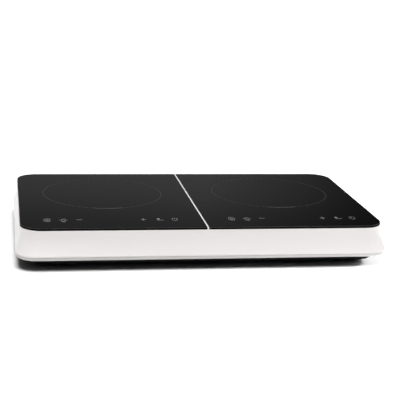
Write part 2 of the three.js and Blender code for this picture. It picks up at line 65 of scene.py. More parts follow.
HEIGHT = 65
GLASS_X, GLASS_FRONT, GLASS_REAR = 293, -174, 183
GLASS_RADIUS = 34
GLASS_BOTTOM = 61
GLASS_TOP = 64.95  # the prints stand on it, up to HEIGHT
FLARE_SIDE, FLARE_FRONT, FLARE_REAR = 7, 14, 5
LEDGE = 0.8  # how far the cover stands out past the glass
LIP_RADIUS, LIP_BOTTOM = 32, 16
SEAM = 22
FLARE_START, FLARE_END, FLARE_CURVE = 60, 24, 1.6
WALL = 2.6
RIB_HALF, PANE_GAP = 1.2, 0.2
FRAME_BAR, FRAME_BOTTOM = 15, 58
SEAT_INSET, SEAT_FROM_RIB, SEAT_Z = 5, 2, 60

PAN_X, PAN_Y, PAN_RADIUS = 280, 170, 24
PAN_BOTTOM, PAN_FLOOR, PAN_WALL, PAN_FLANGE = 5, 7.5, 2.5, 13
FLANGE_BOTTOM, FLANGE_TOP = 18.5, 20.5

ZONE_X, ZONE_Y = 148.5, 43
RING_RADIUS, RING_LINE = 102, 2.2
MARK_HALF = 24  # half the length of the brighter stretch at the front of a ring
KEYS_Y = -127
KEY_X = (-102, -76.5, -51, 51, 76.5, 102)
KEY_STRETCH = 1.8  # the marks are drawn deep, to be read by a cook who looks along the glass

FAN_X, FAN_Y = 193, 92
GRILLE_RADIUS, GRILLE_ROWS, GRILLE_PITCH, GRILLE_SLOT = 40, 7, 10.5, 5.5  # under each fan
VENT_X, VENT_Y, VENT_ROWS, VENT_PITCH, VENT_LENGTH, VENT_WIDTH = 85, -75, 5, 11, 70, 4.5
REAR_SLOTS, REAR_SLOT_X, REAR_SLOT_PITCH, REAR_SLOT_Z = 8, 64, 13, 41
REAR_SLOT_WIDTH, REAR_SLOT_HEIGHT, REAR_SLOT_REACH = 6, 20, 15
BOARD_X, BOARD_Y, POST_X, POST_Y = 77.5, -10, 56, 88  # the posts stand round each board's centre
POST_RADIUS, POST_TOP = 3.5, 14
SCREWS = {
    "side_left_front": (-288.5, -110),
    "side_right_front": (288.5, -110),
    "side_left_rear": (-288.5, 110),
    "side_right_rear": (288.5, 110),
    "front": (0, -178.5),
    "rear": (0, 178.5),
}
SCREW_HOLE, COUNTERBORE, SCREW_SEAT, SCREW_TIP = 1.8, 3.5, LIP_BOTTOM + 1.5, 32
BOSS_RADIUS, BOSS_TOP = 4.5, 34
FEET = {
    "front_left": (-222, -147),
    "front_right": (222, -147),
    "rear_left": (-222, 147),
    "rear_right": (222, 147),
}
PEG_HOLE = 3.4
GLAND_Y, GLAND_Z, GLAND_POCKET, GLAND_HOLE = 183, 45, 13, 7
GUSSET_SIDE, GUSSET_FRONT, GUSSET_REAR = 297, -182.4, 185.5  # reach into the skirt's wall
GUSSET_BOTTOM, GUSSET_TOP = 25, 33
SIDES = {"left": -1, "right": 1}
CORNER_STEPS = 16
FLOOR_HALF = 60000


# ------------------------------------------------------------------ meshes

def outward(mesh):
    """The mesh with its faces turned outwards."""
    bm = bmesh.new()
    bm.from_mesh(mesh)
    bmesh.ops.recalc_face_normals(bm, faces=bm.faces)
    bm.to_mesh(mesh)
    bm.free()
    return mesh


def new_object(name, mesh, material, smooth=30):
    """An object for a mesh, with its faces turned outwards and sharp edges kept above an angle."""
    outward(mesh)
    mesh.shade_smooth()
    mesh.set_sharp_from_angle(angle=math.radians(smooth))
    mesh.materials.append(material)
    made = bpy.data.objects.new(name, mesh)
    bpy.context.scene.collection.objects.link(made)
    return made


def mesh_of(name, points, faces):
    mesh = bpy.data.meshes.new(name)
    mesh.from_pydata([Vector(p) * MM for p in points], [], faces)
    mesh.update()
    return mesh


def outline(left, right, front, rear, radii, steps=CORNER_STEPS):
    """A rectangle with round corners, counterclockwise. Its radii go the same way from the front left."""
    front_left, front_right, rear_right, rear_left = radii
    corners = (
        (right - front_right, front + front_right, front_right, -90),
        (right - rear_right, rear - rear_right, rear_right, 0),
        (left + rear_left, rear - rear_left, rear_left, 90),
        (left + front_left, front + front_left, front_left, 180),
    )
    points = []
    for x, y, radius, start in corners:
        for i in range(steps + 1):
            angle = math.radians(start + 90 * i / steps)
            points.append((x + radius * math.cos(angle), y + radius * math.sin(angle)))
    return points


def rounded(left, right, front, rear, radius, inset=0.0):
    """An outline with one corner radius, moved inwards by an inset."""
    kept = max(radius - inset, 0.5)
    return outline(left + inset, right - inset, front + inset, rear - inset, (kept,) * 4)


def loft(name, levels, closed=False):
    """Quads through outlines at heights, [(z, outline), ...].

    When closed, the last outline joins the first. Otherwise both ends are capped.
    """
    count = len(levels[0][1])
    points = [(x, y, z) for z, ring in levels for x, y in ring]
    faces = []
    bands = len(levels) if closed else len(levels) - 1
    for k in range(bands):
        low, high = k * count, ((k + 1) % len(levels)) * count
        for i in range(count):
            j = (i + 1) % count
            faces.append((low + i, low + j, high + j, high + i))
    if not closed:
        faces.append(tuple(reversed(range(count))))
        top = (len(levels) - 1) * count
        faces.append(tuple(range(top, top + count)))
    return mesh_of(name, points, faces)


def turned(name, profile, steps=48, closed=False):
    """A profile of (radius, height) turned about Z. It starts and ends on the axis, or closes on itself."""
    points, rings = [], []
    for radius, z in profile:
        if radius == 0:
            rings.append([len(points)] * steps)
            points.append((0, 0, z))
            continue
        rings.append(list(range(len(points), len(points) + steps)))
        for i in range(steps):
            angle = 2 * math.pi * i / steps
            points.append((radius * math.cos(angle), radius * math.sin(angle), z))
    faces = []
    pairs = list(zip(rings, rings[1:]))
    if closed:
        pairs.append((rings[-1], rings[0]))
    for low, high in pairs:
        for i in range(steps):
            j = (i + 1) % steps
            corners = list(dict.fromkeys((low[i], low[j], high[j], high[i])))
            if len(corners) > 2:
                faces.append(tuple(corners))
    return mesh_of(name, points, faces)


def extruded(name, section, start, end, axis="Y"):
    """A closed section carried along an axis. Sections are (x, z) along Y and (x, y) along Z."""
    place = {"Y": lambda a, b, t: (a, t, b), "Z": lambda a, b, t: (a, b, t)}[axis]
    count = len(section)
    points = [place(a, b, t) for t in (start, end) for a, b in section]
    faces = [(i, (i + 1) % count, (i + 1) % count + count, i + count) for i in range(count)]
    faces += [tuple(reversed(range(count))), tuple(range(count, 2 * count))]
    return mesh_of(name, points, faces)


def obround(x, y, width, length, steps=10):
    """A slot outline with round ends, longer along its first axis when width is larger than length."""
    radius = min(width, length) / 2
    half_w, half_l = width / 2, length / 2
    return outline(x - half_w, x + half_w, y - half_l, y + half_l, (radius * 0.999,) * 4, steps)


def circle(x, y, radius, steps=48):
    return [
        (x + radius * math.cos(2 * math.pi * i / steps), y + radius * math.sin(2 * math.pi * i / steps))
        for i in range(steps)
    ]


def join_meshes(name, meshes):
    """One mesh out of several, left as they are."""
    bm = bmesh.new()
    for mesh in meshes:
        bm.from_mesh(mesh)
        bpy.data.meshes.remove(mesh)
    whole = bpy.data.meshes.new(name)
    bm.to_mesh(whole)
    bm.free()
    return whole


def combine(mesh, tools, operation):
    """The mesh joined with (UNION) or cut by (DIFFERENCE) a list of tool meshes."""
    scene = bpy.context.scene.collection.objects
    base = bpy.data.objects.new("base", outward(mesh))
    tool = bpy.data.objects.new("tool", outward(join_meshes("tool", tools)))
    scene.link(base)
    scene.link(tool)
    change = base.modifiers.new("change", "BOOLEAN")
    change.operation = operation
    change.object = tool
    change.solver = "EXACT"
    change.use_self = True
    bpy.context.view_layer.update()
    made = bpy.data.meshes.new_from_object(base.evaluated_get(bpy.context.evaluated_depsgraph_get()))
    for used in (base, tool):
        data = used.data
        bpy.data.objects.remove(used)
        bpy.data.meshes.remove(data)
    bm = bmesh.new()
    bm.from_mesh(made)
    bmesh.ops.remove_doubles(bm, verts=bm.verts, dist=1e-7)
    bm.to_mesh(made)
    bm.free()
    return made


def finish_piece(made, body, slot, *nodes):
    """Says what a piece moves with and which CAD nodes it stands for. Its slot argument is not used."""
    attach(made, body)
    if nodes:
        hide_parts(*nodes)
    return made


# ------------------------------------------------------------------ materials

class Shader:
    """A node material with a principled shader, and short calls for the textures on it."""

    def __init__(self, name, metallic=0.0, ior=1.5):
        self.material = bpy.data.materials.new(name)
        self.material.use_nodes = True
        self.tree = self.material.node_tree
        self.shader = self.tree.nodes["Principled BSDF"]
        self.shader.inputs["Metallic"].default_value = metallic
        self.shader.inputs["IOR"].default_value = ior
        self.place = self.node("ShaderNodeTexCoord").outputs["Object"]

    def node(self, kind):
        return self.tree.nodes.new(kind)

    def link(self, source, target):
        self.tree.links.new(source, target)

    def noise(self, size, detail=3, stretch=(1, 1, 1), distortion=0.0):
        """Noise whose features are about size millimetres wide."""
        mapping = self.node("ShaderNodeMapping")
        mapping.inputs["Scale"].default_value = stretch
        self.link(self.place, mapping.inputs["Vector"])
        made = self.node("ShaderNodeTexNoise")
        made.inputs["Scale"].default_value = 1 / (size * MM)
        made.inputs["Detail"].default_value = detail
        made.inputs["Distortion"].default_value = distortion
        self.link(mapping.outputs["Vector"], made.inputs["Vector"])
        return made.outputs["Fac"]

    def ramp(self, source, stops):
        """Colours at positions, [(position, (r, g, b)), ...]."""
        made = self.node("ShaderNodeValToRGB")
        elements = made.color_ramp.elements
        while len(elements) < len(stops):
            elements.new(0.5)
        for element, (position, color) in zip(elements, stops):
            element.position = position
            element.color = (*color, 1)
        self.link(source, made.inputs["Fac"])
        return made.outputs["Color"]

    def spread(self, source, low, high):
        """The middle of a noise's range, spread from low to high."""
        made = self.node("ShaderNodeMapRange")
        for socket, value in (("From Min", 0.3), ("From Max", 0.7), ("To Min", low), ("To Max", high)):
            made.inputs[socket].default_value = value
        self.link(source, made.inputs["Value"])
        return made.outputs["Result"]

    def color(self, source):
        self.link(source, self.shader.inputs["Base Color"])

    def rough(self, source):
        self.link(source, self.shader.inputs["Roughness"])

    def bump(self, source, depth):
        """Relief of a depth in millimetres."""
        made = self.node("ShaderNodeBump")
        made.inputs["Distance"].default_value = depth * MM
        made.inputs["Strength"].default_value = 1
        self.link(source, made.inputs["Height"])
        self.link(made.outputs["Normal"], self.shader.inputs["Normal"])


def tint(color, factor):
    return tuple(c * factor for c in color)


def moulded(name, color, variation, roughness, grain, relief, metallic=0.0, stretch=(1, 1, 1), specular=0.5):
    """A material with cloudy colour, uneven gloss and fine grain."""
    made = Shader(name, metallic=metallic)
    made.shader.inputs["Specular IOR Level"].default_value = specular
    cloud = made.noise(60, 2)
    made.color(made.ramp(cloud, [(0.3, tint(color, 1 - variation)), (0.7, tint(color, 1 + variation))]))
    made.rough(made.spread(made.noise(9, 4, stretch), *roughness))
    made.bump(made.noise(grain, 2, stretch), relief)
    return made.material


def glossy_plastic(name, color):
    """Glossy moulded plastic with a faint orange peel."""
    made = Shader(name, ior=1.5)
    cloud = made.noise(160, 1)
    made.color(made.ramp(cloud, [(0.3, tint(color, 0.995)), (0.7, tint(color, 1.005))]))
    made.rough(made.spread(made.noise(25, 2), 0.30, 0.36))
    made.bump(made.noise(1.2, 2), 0.004)
    return made.material


def black_glass():
    """Polished black glass with faint wipe marks in its gloss."""
    made = Shader("black_glass", ior=1.5)
    cloud = made.noise(120, 2)
    made.color(made.ramp(cloud, [(0.3, (0.0018, 0.0018, 0.0019)), (0.7, (0.0024, 0.0024, 0.0025))]))
    made.rough(made.spread(made.noise(26, 5, (1, 2.5, 1), 0.6), 0.05, 0.10))
    made.bump(made.noise(38, 1), 0.004)
    return made.material


def glass_edge(name, color, ior):
    """An edge of the glass: ground matt, so it mirrors little. A lighter colour, as given for the arris, is a
    painted highlight.
    """
    made = Shader(name, ior=ior)
    made.color(made.ramp(made.noise(3, 3), [(0.3, tint(color, 0.8)), (0.7, tint(color, 1.2))]))
    made.rough(made.spread(made.noise(1, 3), 0.5, 0.7))
    made.bump(made.noise(0.4, 2), 0.02)
    return made.material


def glass_print(name, color, low, high):
    """Fired enamel on the glass: a fine, slightly uneven line."""
    made = Shader(name)
    made.color(made.ramp(made.noise(0.8, 3), [(0.3, tint(color, 0.85)), (0.7, tint(color, 1.15))]))
    made.rough(made.spread(made.noise(2, 3), low, high))
    made.bump(made.noise(0.3, 2), 0.004)
    return made.material


WHITE = glossy_plastic("white_plastic", (0.804, 0.777, 0.771))
# The lip band is white plastic; its grey here is painted shade for the rounded lip that faces down, away from
# the light.
LIP_PAINTED_SHADE = glossy_plastic("lip_plastic_painted_shade", (0.57, 0.56, 0.54))
GLASS = black_glass()
# The arris colour is a painted highlight: a grey that stands in for the light the polished round would catch.
ARRIS_PAINTED_HIGHLIGHT = glass_edge("glass_arris_painted_highlight", (0.09, 0.09, 0.092), 1.4)
GLASS_EDGE = glass_edge("glass_edge", (0.0022, 0.0022, 0.0023), 1.12)
BLACK = moulded("black_plastic", (0.010, 0.010, 0.0105), 0.12, (0.5, 0.65), 0.7, 0.05, specular=0.15)
RUBBER = moulded("rubber", (0.020, 0.020, 0.021), 0.2, (0.72, 0.9), 0.5, 0.06)
STEEL = moulded("steel", (0.52, 0.52, 0.53), 0.08, (0.22, 0.4), 0.4, 0.01, metallic=1.0, stretch=(1, 8, 1))
RING_PRINT = glass_print("ring_print", (0.021, 0.021, 0.0215), 0.2, 0.35)
MARK_PRINT = glass_print("mark_print", (0.075, 0.075, 0.075), 0.25, 0.4)
KEY_PRINT = glass_print("key_print", (0.19, 0.19, 0.19), 0.25, 0.4)


# ------------------------------------------------------------------ housing

def skirt(share, inset=0.0):
    """The skirt's outer outline at a share of its flare: 0 at the top edge, 1 at the lip."""
    side, front, rear = (LEDGE + share * (flare - LEDGE) for flare in (FLARE_SIDE, FLARE_FRONT, FLARE_REAR))
    radius = GLASS_RADIUS + LEDGE + share * (LIP_RADIUS - GLASS_RADIUS - LEDGE)
    return rounded(-GLASS_X - side, GLASS_X + side, GLASS_FRONT - front, GLASS_REAR + rear, radius, inset)


def skirt_at(z, inset=0.0):
    fall = min(max((FLARE_START - z) / (FLARE_START - FLARE_END), 0), 1)
    return skirt(fall ** FLARE_CURVE, inset)


def under_glass(inset):
    return rounded(-GLASS_X, GLASS_X, GLASS_FRONT, GLASS_REAR, GLASS_RADIUS, inset)


def cover_shell():
    """The skirt and its top frame as one ring: up the outside, in under the glass, down the inside."""
    levels = [(SEAM, skirt_at(SEAM, 0.5)), (SEAM + 0.2, skirt_at(SEAM, 0.15)), (SEAM + 0.6, skirt_at(SEAM))]
    heights = [FLARE_END - 0.6] + [FLARE_END + 1.5 * i for i in range(23)]
    levels += [(z, skirt_at(z)) for z in heights]
    levels += [(FLARE_START - 0.6, skirt_at(FLARE_START)), (GLASS_BOTTOM - 0.45, skirt_at(FLARE_START))]
    levels += [(GLASS_BOTTOM - 0.13, skirt_at(FLARE_START, 0.13))]
    levels += [(GLASS_BOTTOM, skirt_at(FLARE_START, 0.45))]
    levels += [(GLASS_BOTTOM, under_glass(SEAT_INSET)), (SEAT_Z, under_glass(SEAT_INSET))]
    levels += [(SEAT_Z, under_glass(FRAME_BAR)), (FRAME_BOTTOM, under_glass(FRAME_BAR))]
    levels += [(z, skirt_at(z, WALL)) for z in [FRAME_BOTTOM] + heights[-2::-2] + [SEAM]]
    return loft("cover", levels, closed=True)


def rib_section():
    """The bar under the panes' inner edges and the white rib that rises between them."""
    top, round_off = HEIGHT, 0.6
    half = [(FRAME_BAR, FRAME_BOTTOM), (FRAME_BAR, SEAT_Z), (SEAT_FROM_RIB, SEAT_Z)]
    half += [(SEAT_FROM_RIB, GLASS_BOTTOM), (RIB_HALF, GLASS_BOTTOM), (RIB_HALF, top - round_off)]
    for degrees in (22.5, 45, 67.5, 90):
        angle = math.radians(degrees)
        half.append((
            RIB_HALF - round_off * (1 - math.cos(angle)),
            top - round_off * (1 - math.sin(angle)),
        ))
    return half + [(-x, z) for x, z in reversed(half)]


def screw_bosses():
    bosses = []
    for x, y in SCREWS.values():
        bosses.append(extruded("boss", circle(x, y, BOSS_RADIUS), FLANGE_TOP, BOSS_TOP, "Z"))
        reach_x = math.copysign(GUSSET_SIDE, x) if x else 1
        reach_y = y + 1 if x else (GUSSET_FRONT if y < 0 else GUSSET_REAR)
        low_x, high_x = sorted((x if x else -1, reach_x))
        low_y, high_y = sorted((y - 1 if x else y, reach_y))
        section = [(low_x, low_y), (high_x, low_y), (high_x, high_y), (low_x, high_y)]
        bosses.append(extruded("gusset", section, GUSSET_BOTTOM, GUSSET_TOP, "Z"))
    return bosses


def upper_cover():
    rib = extruded("rib", rib_section(), GLASS_FRONT, GLASS_REAR)
    pad = extruded("pad", circle(0, GLAND_Z, GLAND_POCKET + 2), GLAND_Y - 3, GLAND_Y + 1)
    whole = combine(cover_shell(), [rib, pad], "UNION")
    whole = combine(whole, screw_bosses(), "UNION")
    slots = []
    near, far = GLASS_REAR - REAR_SLOT_REACH, GLASS_REAR + REAR_SLOT_REACH
    for side in SIDES.values():
        for i in range(REAR_SLOTS):
            x = side * (REAR_SLOT_X + REAR_SLOT_PITCH * i)
            section = obround(x, REAR_SLOT_Z, REAR_SLOT_WIDTH, REAR_SLOT_HEIGHT)
            slots.append(extruded("slot", section, near, far))
    pocket = extruded("pocket", circle(0, GLAND_Z, GLAND_POCKET), GLAND_Y, GLAND_Y + 10)
    inlet = extruded("inlet", circle(0, GLAND_Z, GLAND_HOLE), GLAND_Y - 20, GLAND_Y + 0.5)
    pilots = [
        extruded("pilot", circle(x, y, SCREW_HOLE, 24), 0, BOSS_TOP - 1, "Z") for x, y in SCREWS.values()
    ]
    whole = combine(whole, slots + [pocket], "DIFFERENCE")
    whole = combine(whole, [inlet] + pilots, "DIFFERENCE")
    finish_piece(new_object("cover", whole, WHITE, 25), "body", "white_plastic", "upper_cover")


def lower_bezel():
    """The lip band as one ring of quads, with its tray and the opening for the pan, in white plastic greyed
    with painted shade.
    """
    lip = lambda inset: skirt(1, inset)
    opening = rounded(-PAN_X, PAN_X, -PAN_Y, PAN_Y, PAN_RADIUS, -0.5)
    levels = [(LIP_BOTTOM, opening), (LIP_BOTTOM, lip(4.2)), (LIP_BOTTOM + 0.12, lip(3.3))]
    levels += [(LIP_BOTTOM + 0.5, lip(2.4)), (LIP_BOTTOM + 1.1, lip(1.7)), (LIP_BOTTOM + 2.0, lip(1.1))]
    levels += [(LIP_BOTTOM + 3.1, lip(0.6)), (LIP_BOTTOM + 4.3, lip(0.25)), (SEAM - 0.7, lip(0.1))]
    levels += [(SEAM - 0.4, lip(0.18)), (SEAM - 0.3, lip(0.4)), (SEAM - 0.3, lip(3))]
    levels += [(SEAM + 2, lip(3)), (SEAM + 2, lip(4.4)), (FLANGE_BOTTOM, lip(4.4)), (FLANGE_BOTTOM, opening)]
    holes = []
    for x, y in SCREWS.values():
        holes.append(extruded("hole", circle(x, y, SCREW_HOLE, 24), 10, 30, "Z"))
        holes.append(extruded("counterbore", circle(x, y, COUNTERBORE, 32), 10, SCREW_SEAT, "Z"))
    whole = combine(loft("bezel", levels, closed=True), holes, "DIFFERENCE")
    finish_piece(new_object("lip_band", whole, LIP_PAINTED_SHADE, 32), "body", "white_plastic", "lower_bezel")


def floor_slots():
    """Slots in the pan's floor: a round grille under each fan and a row under each power board."""
    slots = []
    for side in SIDES.values():
        for i in range(GRILLE_ROWS):
            dy = (i - GRILLE_ROWS // 2) * GRILLE_PITCH
            length = 2 * math.sqrt(GRILLE_RADIUS ** 2 - dy ** 2)
            slots.append((side * FAN_X, FAN_Y + dy, length, GRILLE_SLOT))
        for i in range(VENT_ROWS):
            slots.append((side * VENT_X, VENT_Y + VENT_PITCH * i, VENT_LENGTH, VENT_WIDTH))
    return [extruded("slot", obround(*slot, steps=6), 0, PAN_FLOOR + 1, "Z") for slot in slots]


def pan_posts():
    """Posts under the four corners of each power board."""
    posts = []
    for side in SIDES.values():
        for sx in (-1, 1):
            for sy in (-1, 1):
                section = circle(side * BOARD_X + POST_X * sx, BOARD_Y + POST_Y * sy, POST_RADIUS, 24)
                posts.append(extruded("post", section, PAN_FLOOR - 0.5, POST_TOP, "Z"))
    return posts


def base_pan():
    rim = lambda inset: rounded(-PAN_X, PAN_X, -PAN_Y, PAN_Y, PAN_RADIUS, inset)
    levels = [(PAN_BOTTOM, rim(5.4)), (PAN_BOTTOM + 0.15, rim(4.6)), (PAN_BOTTOM + 0.7, rim(3.5))]
    levels += [(PAN_BOTTOM + 1.6, rim(2.4)), (PAN_BOTTOM + 2.8, rim(1.6)), (PAN_BOTTOM + 4, rim(1.1))]
    levels += [(PAN_BOTTOM + 6, rim(0.8)), (FLANGE_BOTTOM, rim(0)), (FLANGE_BOTTOM, rim(-PAN_FLANGE))]
    levels += [(FLANGE_TOP, rim(-PAN_FLANGE)), (FLANGE_TOP, rim(PAN_WALL))]
    levels += [(PAN_FLOOR + 3, rim(1 + PAN_WALL)), (PAN_FLOOR, rim(5 + PAN_WALL))]
    whole = combine(loft("pan", levels), pan_posts(), "UNION")
    pegs = [extruded("peg", circle(x, y, PEG_HOLE, 32), 0, 12, "Z") for x, y in FEET.values()]
    screw_holes = [extruded("hole", circle(x, y, SCREW_HOLE, 24), 10, 30, "Z") for x, y in SCREWS.values()]
    whole = combine(whole, floor_slots() + pegs + screw_holes, "DIFFERENCE")
    finish_piece(new_object("underside_pan", whole, BLACK, 32), "body", "black_plastic", "base_pan")


def feet():
    """Rubber feet with a soft edge and two grip grooves in the face."""
    profile = [(0, 0.5), (3, 0.5), (3.4, 0), (5.2, 0), (5.6, 0.5), (6.6, 0.5), (7, 0), (9.2, 0), (10.1, 0.25)]
    profile += [(10.75, 0.8), (11, 1.6), (11, 3.8), (10.7, 4.6), (10, 5), (3, 5), (3, 7.8), (4.2, 8.3)]
    profile += [(2.4, 11), (0, 11)]
    for name, (x, y) in FEET.items():
        made = new_object(f"foot_pad_{name}", turned("foot", profile), RUBBER, 40)
        made.location = (x * MM, y * MM, 0)
        finish_piece(made, "body", "rubber", f"foot_{name}")


def cross_recess():
    """The tapering cross that is cut into a screw head."""
    half, arm = 0.45, 2.0
    section = [(half, -arm), (half, -half), (arm, -half), (arm, half), (half, half), (half, arm)]
    section += [(-half, arm), (-half, half), (-arm, half), (-arm, -half), (-half, -half), (-half, -arm)]
    return extruded("cross", section, 15.5, 17.1, "Z")


def housing_screws():
    seat = SCREW_SEAT
    profile = [(0, seat - 1.3), (1.6, seat - 1.26), (2.4, seat - 1.08), (2.85, seat - 0.75), (3, seat - 0.4)]
    profile += [(3, seat), (1.2, seat)]
    for i in range(18):
        z = seat + 0.6 + 0.7 * i
        profile += [(1.2, z), (1.5, z + 0.28), (1.2, z + 0.55)]
    profile.append((0, SCREW_TIP))
    for name, (x, y) in SCREWS.items():
        mesh = combine(turned("screw", profile, 24), [cross_recess()], "DIFFERENCE")
        made = new_object(f"screw_{name}", mesh, STEEL, 35)
        made.location = (x * MM, y * MM, 0)
        finish_piece(made, "body", "steel", f"housing_screw_{name}")


def cable_gland():
    profile = [(3.6, -8), (8.6, -8), (9, -7.6), (9, -3.7), (8.6, -3.3), (6.6, -3.3), (6.6, 0), (12, 0)]
    profile += [(12, 1.3), (11.7, 1.8), (10, 2.1), (8.4, 2.5), (7.4, 3.2), (6.8, 4.2)]
    profile += [(6.3, 4.65), (5.8, 4.8), (4.2, 4.8), (3.7, 4.5)]
    made = new_object("gland", turned("gland", profile, 64, closed=True), BLACK, 40)
    rearward = Matrix.Rotation(-math.pi / 2, 4, "X")
    made.matrix_world = Matrix.Translation((0, GLAND_Y * MM, GLAND_Z * MM)) @ rearward
    finish_piece(made, "body", "black_plastic", "cable_gland")


# ------------------------------------------------------------------ glass and its prints

def pane_outline(side, inset=0.0):
    inner, corner, square = RIB_HALF + PANE_GAP, max(GLASS_RADIUS - inset, 1), max(1.2 - inset, 0.3)
    low, high = sorted((side * (inner + inset), side * (GLASS_X - inset)))
    front_left, front_right = (corner, square) if side < 0 else (square, corner)
    radii = (front_left, front_right, front_right, front_left)
    return outline(low, high, GLASS_FRONT + inset, GLASS_REAR - inset, radii)


def glass_panes():
    edge = 0.7  # the polished round at the top edge
    panes = []
    for name, side in SIDES.items():
        levels = [(GLASS_BOTTOM, pane_outline(side, 0.35)), (GLASS_BOTTOM + 0.35, pane_outline(side))]
        for degrees in (0, 22.5, 45, 67.5, 90):
            angle = math.radians(degrees)
            inset = edge * (1 - math.cos(angle))
            levels.append((GLASS_TOP - edge * (1 - math.sin(angle)), pane_outline(side, inset)))
        levels.append((GLASS_TOP, pane_outline(side, edge + 0.5)))
        made = new_object(f"{name}_pane", loft("pane", levels), GLASS, 30)
        # The polished round at the top edge is greyed: a painted highlight along the glass's edge.
        made.data.materials.append(ARRIS_PAINTED_HIGHLIGHT)
        made.data.materials.append(GLASS_EDGE)
        for face in made.data.polygons:
            depth = GLASS_TOP - face.center.z / MM
            face.material_index = int(depth > 0.01) + int(depth > edge)
        panes.append(finish_piece(made, "body", "black_glass", f"{name}_glass"))
    return panes


def ribbon(points, width, closed=False, top=HEIGHT):
    """A flat printed line along points, as a thin closed solid."""
    bottom = GLASS_TOP - 0.03
    count = len(points)
    verts, faces = [], []
    for i, (x, y) in enumerate(points):
        before = points[i - 1] if closed or i else points[0]
        after = points[(i + 1) % count] if closed or i + 1 < count else points[-1]
        along = Vector((after[0] - before[0], after[1] - before[1])).normalized()
        dx, dy = -along.y * width / 2, along.x * width / 2
        verts += [(x + dx, y + dy, bottom), (x - dx, y - dy, bottom)]
        verts += [(x - dx, y - dy, top), (x + dx, y + dy, top)]
    for i in range(count if closed else count - 1):
        a, b = 4 * i, 4 * ((i + 1) % count)
        faces += [(a + k, a + (k + 1) % 4, b + (k + 1) % 4, b + k) for k in range(4)]
    if not closed:
        last = 4 * (count - 1)
        faces += [(3, 2, 1, 0), (last, last + 1, last + 2, last + 3)]
    return mesh_of("ribbon", verts, faces)


def arc(x, y, radius, start, end, steps=24):
    """Points on a circle between two directions in degrees."""
    angles = [math.radians(start + (end - start) * i / steps) for i in range(steps + 1)]
    return [(x + radius * math.cos(a), y + radius * math.sin(a)) for a in angles]


def spot(x, y, radius):
    return extruded("spot", circle(x, y, radius, 24), GLASS_TOP - 0.03, HEIGHT, "Z")


def bar(x, y, width, depth):
    return ribbon([(x - width / 2, y), (x + width / 2, y)], depth)


def lock_mark(x, y):
    shackle = ribbon(arc(x, y + 0.4, 1.9, 0, 180), 0.8)
    return [ribbon(circle(x, y, 5), 0.9, closed=True), bar(x, y - 1.2, 4.6, 2.2), shackle]


def timer_mark(x, y):
    face = ribbon(circle(x, y, 3.4), 0.9, closed=True)
    hand = ribbon([(x, y), (x, y + 2.2)], 0.8)
    ticks = [bar(x + 5.6 * side, y, 2.2, 0.9) for side in SIDES.values()]
    return [face, hand, *ticks, ribbon(arc(x, y + 1, 6.6, 235, 305, 8), 0.9)]


def minus_mark(x, y):
    return [bar(x, y + 0.8, 8.5, 1.2)]


def plus_mark(x, y):
    return [bar(x, y, 8, 1.2), ribbon([(x, y - 3.2), (x, y + 3.2)], 1.5, top=HEIGHT - 0.005)]


def function_mark(x, y):
    return [spot(x - 1.2, y + 1.4, 2.4), bar(x + 1.4, y - 2.6, 11, 0.9)]


def power_mark(x, y):
    return [ribbon(arc(x, y, 4.2, 125, 415), 1.0), ribbon([(x, y + 0.5), (x, y + 4.6)], 1.1)]


KEY_MARKS = (lock_mark, timer_mark, minus_mark, plus_mark, function_mark, power_mark)


def prints():
    share = math.degrees(math.asin(MARK_HALF / RING_RADIUS))
    for name, side in SIDES.items():
        x, y = side * ZONE_X, ZONE_Y
        ring = ribbon(circle(x, y, RING_RADIUS, 180), RING_LINE, closed=True, top=HEIGHT - 0.01)
        mark = ribbon(arc(x, y, RING_RADIUS, -90 - share, -90 + share), RING_LINE)
        keys = join_meshes("keys", [part for dx, draw in zip(KEY_X, KEY_MARKS) for part in draw(x + dx, 0)])
        keys.transform(Matrix.Translation((0, KEYS_Y * MM, 0)) @ Matrix.Scale(KEY_STRETCH, 4, (0, 1, 0)))
        for label, mesh, material in (
            ("zone_ring", ring, RING_PRINT),
            ("zone_front_mark", mark, MARK_PRINT),
            ("key_marks", keys, KEY_PRINT),
        ):
            finish_piece(new_object(f"{name}_{label}", mesh, material, 40), "body", "black_glass")


# ------------------------------------------------------------------ CAD nodes that stay

def carried_materials():
    """Materials for the parts under the glass, by the material slot of the record."""
    return {
        "silicone": moulded("silicone", (0.16, 0.165, 0.17), 0.1, (0.6, 0.8), 0.8, 0.03),
        "copper": moulded("copper", (0.70, 0.30, 0.16), 0.12, (0.3, 0.5), 0.5, 0.05, 1.0, (1, 1, 6)),
        "mica": moulded("mica", (0.55, 0.49, 0.36), 0.15, (0.35, 0.6), 1.5, 0.03),
        "ferrite": moulded("ferrite", (0.035, 0.036, 0.04), 0.2, (0.5, 0.75), 0.6, 0.05),
        "coil_plastic": moulded("coil_plastic", (0.66, 0.61, 0.52), 0.06, (0.45, 0.6), 0.9, 0.03),
        "circuit_board": moulded("circuit_board", (0.012, 0.10, 0.035), 0.2, (0.3, 0.5), 2.5, 0.03),
        "aluminium": moulded("aluminium", (0.66, 0.67, 0.69), 0.06, (0.28, 0.42), 0.5, 0.02, 1.0, (1, 8, 1)),
        "epoxy": moulded("epoxy", (0.012, 0.012, 0.013), 0.2, (0.4, 0.6), 0.5, 0.03),
        "capacitor": moulded("capacitor", (0.025, 0.08, 0.24), 0.1, (0.3, 0.45), 1.2, 0.01),
        "display": moulded("display", (0.018, 0.006, 0.007), 0.1, (0.15, 0.3), 1.0, 0.005),
        "wire": moulded("wire", (0.04, 0.04, 0.044), 0.1, (0.45, 0.6), 0.8, 0.01),
        "brass": moulded("brass", (0.62, 0.44, 0.16), 0.1, (0.25, 0.4), 0.4, 0.02, 1.0, (1, 8, 1)),
        "black_plastic": BLACK,
    }


